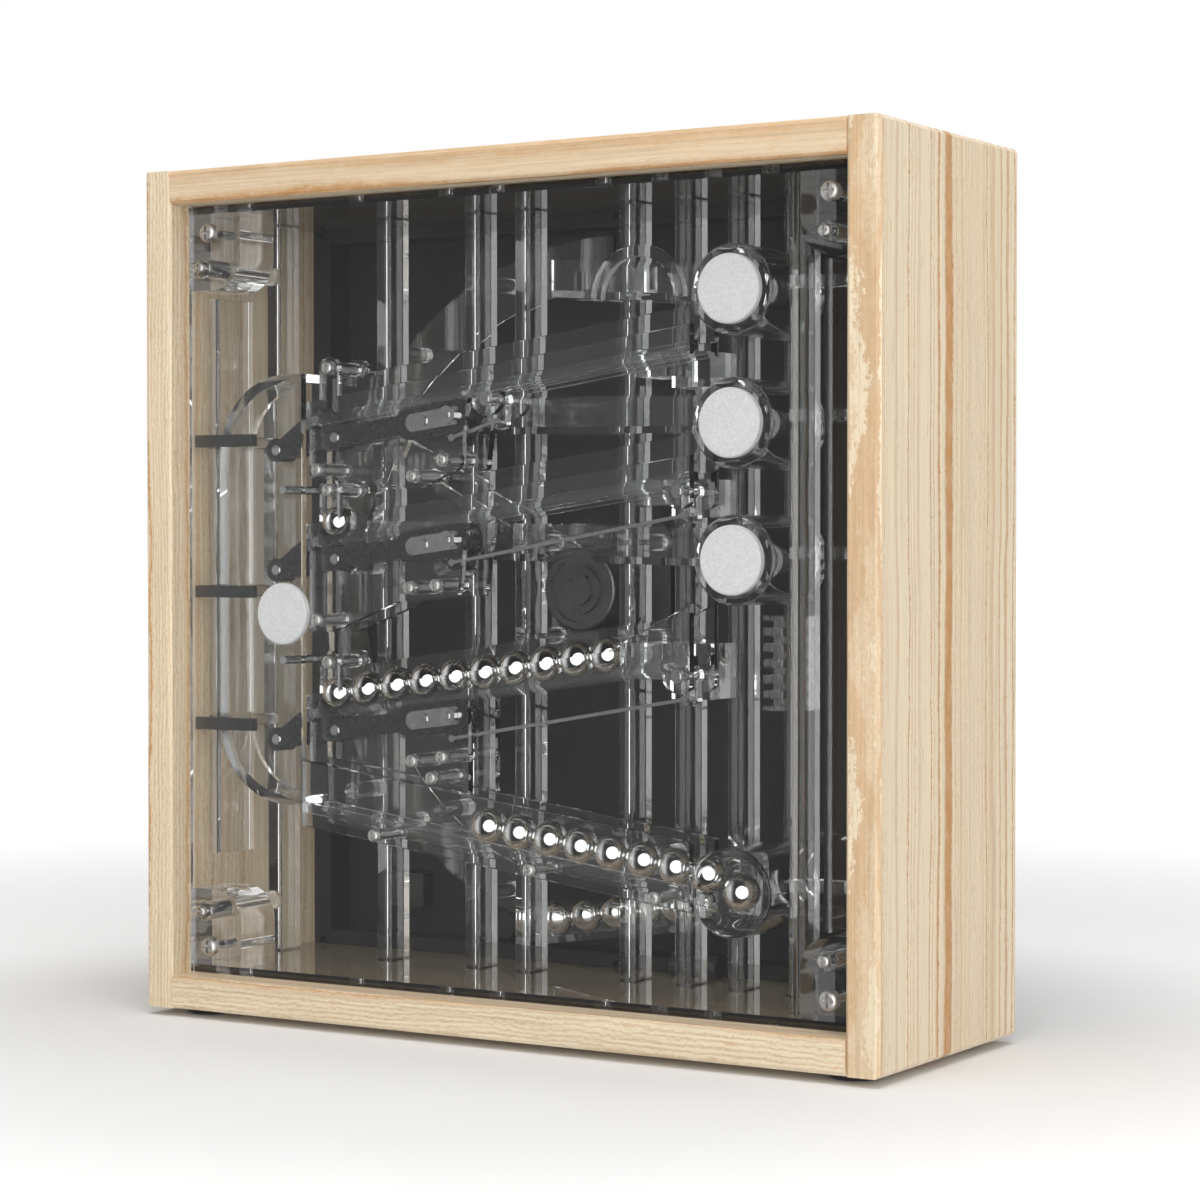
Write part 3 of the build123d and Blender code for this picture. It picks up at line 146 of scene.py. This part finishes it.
def pine(name, turn, pith):
    """Pine with its growth rings as cylinders round a pith, the grain along Z before the turn."""
    g = Graph(name)
    turned = g.add("ShaderNodeMapping", inputs={"Rotation": turn})
    g.link(g.place(), turned.inputs["Vector"])
    spot = turned.outputs[0]
    split = g.add("ShaderNodeSeparateXYZ")
    g.link(spot, split.inputs[0])
    across = g.math("SUBTRACT", split.outputs[0], pith[0])
    deep = g.math("SUBTRACT", split.outputs[1], pith[1])
    radius = g.math("SQRT", g.math("ADD", g.math("MULTIPLY", across, across), g.math("MULTIPLY", deep, deep)))
    sway = g.math("MULTIPLY", g.noise(spot, (24, 24, 9.0), 2.0), SWAY_DEPTH)
    wave = g.math("MULTIPLY", g.noise(spot, (120, 120, 70), 1.0), WAVE_DEPTH)
    jag = g.math("MULTIPLY", g.noise(spot, (700, 700, 420), 2.0, 0.7), JAG_DEPTH)
    radius = g.math("ADD", g.math("ADD", radius, sway), g.math("ADD", wave, jag))
    uneven = g.math("MULTIPLY", g.noise_along(g.math("MULTIPLY", radius, 60.0), 1.0), 4.0)
    rings = g.math("ADD", g.math("MULTIPLY", radius, RINGS_PER_METRE), uneven)
    phase = g.math("FRACT", rings)
    which = g.math("FLOOR", rings)
    luck = g.add("ShaderNodeTexWhiteNoise", noise_dimensions="1D")
    g.link(which, luck.inputs["W"])
    late = g.ramp(phase, (0.0, 0.3), (0.02, 0.0), (0.60, 0.0), (0.80, 0.6), (0.88, 1.0), (0.98, 1.0),
                  (1.0, 0.6), smooth=False)
    strength = g.ramp(luck.outputs["Value"], (0.0, 0.35), (0.45, 0.65), (0.75, 1.0), (1.0, 1.0),
                      smooth=False)
    broken = g.ramp(g.noise(spot, (300, 300, 110), 3.0, 0.7), (0.30, 0.72), (0.60, 1.0), smooth=False)
    late = g.math("MULTIPLY", g.math("MULTIPLY", late, strength), broken)
    fine = g.ramp(g.math("FRACT", g.math("MULTIPLY", radius, FINE_RINGS_PER_METRE)),
                  (0.0, 0.0), (0.45, 0.0), (0.8, 1.0), (1.0, 0.2), smooth=False)
    dense = g.ramp(g.noise_along(g.math("MULTIPLY", radius, 24.0), 0.0), (0.44, 0.0), (0.56, 0.42),
                   smooth=False)
    late = g.math("MAXIMUM", late, g.math("MULTIPLY", fine, dense))
    fleck = g.ramp(g.noise(spot, (620, 620, 130), 1.0), (0.0, 0.0), (0.66, 0.0), (0.74, 0.75), (1.0, 0.9))
    fleck = g.math("MULTIPLY", fleck, g.math("SUBTRACT", 0.8, late))
    tone = g.mix(g.noise(spot, (26, 26, 4), 2.0), PINE_PALE, PINE_WARM)
    tone = g.mix(0.55, tone, PINE_PALE)
    tone = g.mix(late, tone, PINE_LATE)
    tone = g.mix(g.math("MULTIPLY", fleck, 0.5), tone, PINE_LATE)
    vein = g.ramp(g.noise(spot, (950, 950, 9), 2.0, 0.6), (0.57, 0.0), (0.68, 0.34), smooth=False)
    tone = g.mix(vein, tone, PINE_GREY)
    fibre = g.noise(spot, (1500, 1500, 24), 2.0, 0.6)
    tone = g.mix(1.0, tone, g.ramp(fibre, (0.25, 0.90), (0.75, 1.06)), "MULTIPLY")
    g.link(tone, g.shader.inputs["Base Color"])
    g.link(g.ramp(fibre, (0.2, 0.44), (0.8, 0.58)), g.shader.inputs["Roughness"])
    relief = g.math("ADD", g.math("MULTIPLY", fibre, 0.5), g.math("MULTIPLY", late, 0.5))
    g.link(g.bump(relief, 0.00012, 0.6), g.shader.inputs["Normal"])
    g.shader.inputs["Specular IOR Level"].default_value = 0.4
    g.shader.inputs["Coat Weight"].default_value = 0.12
    g.shader.inputs["Coat Roughness"].default_value = 0.25
    return g.material


def acrylic(name, tint_or_shade, dust):
    """Clear cast acrylic with a trace of handling marks. Its tint is faint, or grey where it paints shade
    onto the wood behind the linings.
    """
    g = Graph(name)
    spot = g.place()
    marks = g.noise(spot, (90, 90, 90), 3.0, 0.6)
    g.link(g.mix(g.ramp(marks, (0.3, 0.0), (0.8, dust)), tint_or_shade, tuple(0.93 * c for c in tint_or_shade)),
           g.shader.inputs["Base Color"])
    g.link(g.ramp(marks, (0.45, 0.0), (0.9, 0.03)), g.shader.inputs["Roughness"])
    g.shader.inputs["IOR"].default_value = ACRYLIC_IOR
    g.shader.inputs["Transmission Weight"].default_value = 1.0
    return g.material


def polished_ball(name):
    """Hardened steel, polished bright, with the finest swirl left in it."""
    g = Graph(name)
    spot = g.place()
    swirl = g.noise(spot, (700, 700, 2400), 2.0)
    g.link(g.ramp(swirl, (0.3, (0.80, 0.80, 0.80)), (0.7, (0.86, 0.86, 0.85))), g.shader.inputs["Base Color"])
    g.shader.inputs["Metallic"].default_value = 1.0
    g.link(g.ramp(swirl, (0.3, 0.015), (0.8, 0.04)), g.shader.inputs["Roughness"])
    return g.material


def machined_steel(name, colour, scale, rough):
    """Turned or pressed steel with faint tool marks."""
    g = Graph(name)
    spot = g.place()
    marks = g.noise(spot, scale, 3.0, 0.6)
    patches = g.noise(spot, (300, 300, 300), 2.0)
    g.link(g.mix(patches, colour, tuple(0.8 * c for c in colour)), g.shader.inputs["Base Color"])
    g.shader.inputs["Metallic"].default_value = 1.0
    g.link(g.ramp(marks, (0.2, rough * 0.7), (0.8, rough * 1.3)), g.shader.inputs["Roughness"])
    g.link(g.bump(marks, 0.00004, 0.5), g.shader.inputs["Normal"])
    return g.material


def moulded(name, colour, rough, grain):
    """Satin plastic or board with a fine moulded grain."""
    g = Graph(name)
    spot = g.place()
    speck = g.noise(spot, (grain, grain, grain), 3.0, 0.6)
    cloud = g.noise(spot, (40, 40, 40), 2.0)
    g.link(g.mix(cloud, colour, tuple(1.25 * c for c in colour)), g.shader.inputs["Base Color"])
    g.link(g.ramp(speck, (0.2, rough * 0.8), (0.8, min(1.0, rough * 1.2))), g.shader.inputs["Roughness"])
    g.link(g.bump(speck, 0.00003, 0.5), g.shader.inputs["Normal"])
    return g.material


def white_felt(name):
    """Pressed white felt: short matted fibres and a soft sheen."""
    g = Graph(name)
    spot = g.place()
    fibre = g.noise(spot, (1400, 1400, 1400), 4.0, 0.7)
    cloud = g.noise(spot, (260, 260, 260), 3.0, 0.6)
    tone = g.mix(cloud, (0.76, 0.76, 0.755), (0.92, 0.92, 0.915))
    tone = g.mix(0.5, tone, g.ramp(fibre, (0.3, 0.66), (0.7, 0.97)))
    g.link(tone, g.shader.inputs["Base Color"])
    g.shader.inputs["Roughness"].default_value = 0.95
    g.shader.inputs["Sheen Weight"].default_value = 0.35
    relief = g.math("ADD", g.math("MULTIPLY", fibre, 0.6), g.math("MULTIPLY", cloud, 0.8))
    g.link(g.bump(relief, 0.0005, 0.9), g.shader.inputs["Normal"])
    return g.material


QUARTER = math.pi / 2
CLEAR = (0.985, 0.99, 0.99)
# Grey tint for the linings: painted shade that darkens the wood inside the case, which the lamps light
# through clear pieces that cast no shadow.
LINING_SHADE_GREY = (0.58, 0.58, 0.575)
pine_left = pine("pine_left", (0, 0, 0), (-0.60, -0.35))
pine_right = pine("pine_right", (0, 0, 0), (0.23, -0.62))
pine_top = pine("pine_top", (0, QUARTER, 0), (0.52, -0.40))
pine_bottom = pine("pine_bottom", (0, QUARTER, 0), (-0.36, -0.46))
panel_acrylic = acrylic("panel_acrylic", CLEAR, 0.2)
works_acrylic = acrylic("works_acrylic", CLEAR, 0.3)
# The linings' grey tint paints shade onto the wood behind them.
lining_acrylic_shaded = acrylic("lining_acrylic_shaded", LINING_SHADE_GREY, 0.3)
steel_ball = polished_ball("steel_ball")
screw_steel = machined_steel("screw_steel", (0.74, 0.73, 0.71), (900, 900, 900), 0.46)
pin_steel = machined_steel("pin_steel", (0.72, 0.72, 0.72), (400, 3000, 400), 0.16)
lever_black = moulded("lever_black", (0.012, 0.012, 0.013), 0.28, 900)
fitting_black = moulded("fitting_black", (0.02, 0.02, 0.021), 0.42, 1200)
foot_rubber = moulded("foot_rubber", (0.018, 0.018, 0.018), 0.8, 1500)
charcoal_board = moulded("charcoal_board", (0.012, 0.012, 0.0125), 0.7, 1600)
motor_grey = machined_steel("motor_grey", (0.17, 0.17, 0.175), (500, 500, 500), 0.35)
hub_brass = machined_steel("hub_brass", (0.78, 0.60, 0.30), (600, 2600, 600), 0.22)
felt = white_felt("felt")

LOOKS = {
    pine_left: ["side_board_left", "corner_dowels"],
    pine_right: ["side_board_right"],
    pine_top: ["top_board"],
    pine_bottom: ["bottom_board"],
    panel_acrylic: ["front_panel"],
    lining_acrylic_shaded: ["linings"],
    steel_ball: ["five_minute_ball", "hour_balls", "queue_balls", "turning_ball", "channel_balls"],
    screw_steel: ["panel_screws", "back_screws", "rail_screws"],
    pin_steel: ["lane_pins", "minute_gate_fittings", "five_minute_gate_fittings", "hour_gate_fittings",
                "minute_trip_link", "five_minute_trip_link", "hour_trip_link", "lift_shaft"],
    lever_black: ["minute_gate_lever", "five_minute_gate_lever", "hour_gate_lever"],
    fitting_black: ["switch_housing", "switch_rocker", "power_inlet", "chute_straps", "run_capacitor"],
    foot_rubber: ["rubber_feet"],
    charcoal_board: ["back_panel", "rear_battens"],
    motor_grey: ["gearmotor"],
    hub_brass: ["lift_hub"],
    felt: ["felt_pads"],
}


def dress():
    """Each carried-over node gets its material, and what is left is clear acrylic, which casts no shadow."""
    material_of = {node: material for material, members in LOOKS.items() for node in members}
    for name, obj in nodes.items():
        material = material_of.get(name, works_acrylic)
        for slot in obj.material_slots:
            slot.material = material
        obj.visible_shadow = material not in (panel_acrylic, lining_acrylic_shaded, works_acrylic)


# ---------------------------------------------------------------- floor, background and light
FLOOR_SIZE = 60.0
FAR_FLOOR = 2.0
LIGHT_AIM = Vector((0, 0, 0.155))


def make_floor():
    """A plain white floor with the case's shadow, lit up further off. Metal and glass don't see it."""
    bpy.ops.mesh.primitive_plane_add(size=FLOOR_SIZE, location=(0, 0, 0))
    floor = bpy.context.object
    floor.name = "floor"
    g = Graph("floor_white")
    g.shader.inputs["Base Color"].default_value = (0.86, 0.855, 0.85, 1)
    g.shader.inputs["Roughness"].default_value = 0.9
    g.shader.inputs["Specular IOR Level"].default_value = 0.1
    glow = g.add("ShaderNodeEmission", inputs={"Color": (1, 1, 1, 1)})
    path = g.add("ShaderNodeLightPath")
    spot = g.add("ShaderNodeSeparateXYZ")
    g.link(g.place(), spot.inputs[0])
    reach = g.math("SQRT", g.math("ADD", g.math("POWER", spot.outputs[0], 2.0),
                                  g.math("POWER", spot.outputs[1], 2.0)))
    far = g.ramp(g.math("DIVIDE", reach, FAR_FLOOR),
                 (0.0, 0.0), (0.085, 0.0), (0.17, 0.16), (0.5, 0.6), (1.0, 1.0))
    g.link(g.math("MULTIPLY", path.outputs["Is Camera Ray"], far), glow.inputs["Strength"])
    both = g.add("ShaderNodeAddShader")
    g.link(g.shader.outputs[0], both.inputs[0])
    g.link(glow.outputs[0], both.inputs[1])
    g.link(both.outputs[0], g.tree.nodes["Material Output"].inputs["Surface"])
    floor.data.materials.append(g.material)
    floor.visible_glossy = False
    floor.visible_transmission = False


STUDIO_DARK = 0.004
STUDIO_GREY = 0.24
STUDIO_PALE = 0.8
STUDIO_AMBIENT = 0.12


def make_world():
    """White for the camera. Metal and glass see white behind the object, and in front of it a dark
    studio that turns grey and then pale to the left."""
    world = bpy.data.worlds.new("studio")
    bpy.context.scene.world = world
    world.use_nodes = True
    tree = world.node_tree
    back = tree.nodes["Background"]
    split = tree.nodes.new("ShaderNodeSeparateXYZ")
    tree.links.new(tree.nodes.new("ShaderNodeTexCoord").outputs["Generated"], split.inputs[0])

    def step(socket, low, high, start, end):
        """A soft step of the direction's coordinate between two levels."""
        node = tree.nodes.new("ShaderNodeMapRange")
        node.interpolation_type = "SMOOTHSTEP"
        for key, value in zip(("From Min", "From Max", "To Min", "To Max"), (low, high, start, end)):
            node.inputs[key].default_value = value
        tree.links.new(socket, node.inputs["Value"])
        return node.outputs[0]

    def blend(factor, first, second):
        """A level mixed from two levels, each a socket or a number."""
        node = tree.nodes.new("ShaderNodeMix")
        for socket, value in zip(node.inputs, (factor, None, first, second)):
            if isinstance(value, float):
                socket.default_value = value
            elif value is not None:
                tree.links.new(value, socket)
        return node.outputs[0]

    side = split.outputs[0]
    front = blend(step(side, -0.40, -0.50, 0.0, 1.0), STUDIO_DARK, STUDIO_GREY)
    front = blend(step(side, -0.60, -0.66, 0.0, 1.0), front, STUDIO_PALE)
    seen = blend(step(split.outputs[1], -0.05, 0.05, 0.0, 1.0), front, 1.0)
    path = tree.nodes.new("ShaderNodeLightPath")
    shine = tree.nodes.new("ShaderNodeMath")
    shine.operation = "MAXIMUM"
    tree.links.new(path.outputs["Is Glossy Ray"], shine.inputs[0])
    tree.links.new(path.outputs["Is Transmission Ray"], shine.inputs[1])
    level = blend(shine.outputs[0], STUDIO_AMBIENT, seen)
    level = blend(path.outputs["Is Camera Ray"], level, 1.0)
    tree.links.new(level, back.inputs["Strength"])
    back.inputs["Color"].default_value = (1, 1, 1, 1)


def softbox(name, place, width, height, power, shape="RECTANGLE"):
    """One soft lamp that faces the object."""
    data = bpy.data.lights.new(name, "AREA")
    data.shape = shape
    data.size = width
    data.size_y = height
    data.energy = power
    lamp = bpy.data.objects.new(name, data)
    lamp.location = place
    lamp.rotation_euler = (LIGHT_AIM - Vector(place)).to_track_quat("-Z", "Y").to_euler()
    bpy.context.scene.collection.objects.link(lamp)
    return lamp


def make_lights():
    """A large round box behind the camera, one overhead that reflections leave out, one on the right."""
    toward_camera = (CAMERA_PLACE - LIGHT_AIM).normalized()
    softbox("round_box", LIGHT_AIM + toward_camera * 1.5, 2.4, 2.4, 34.0, "DISK")
    top_box = softbox("top_box", (0.1, -0.3, 1.9), 1.6, 1.6, 27.0)
    top_box.visible_glossy = False
    top_box.visible_transmission = False
    softbox("right_box", (1.8, 0.5, 0.9), 1.2, 1.2, 6.0)


make_camera()
dress()
make_floor()
make_world()
make_lights()
scene = bpy.context.scene
scene.view_settings.view_transform = "Standard"
scene.cycles.max_bounces = 32
scene.cycles.transmission_bounces = 32
scene.cycles.glossy_bounces = 24
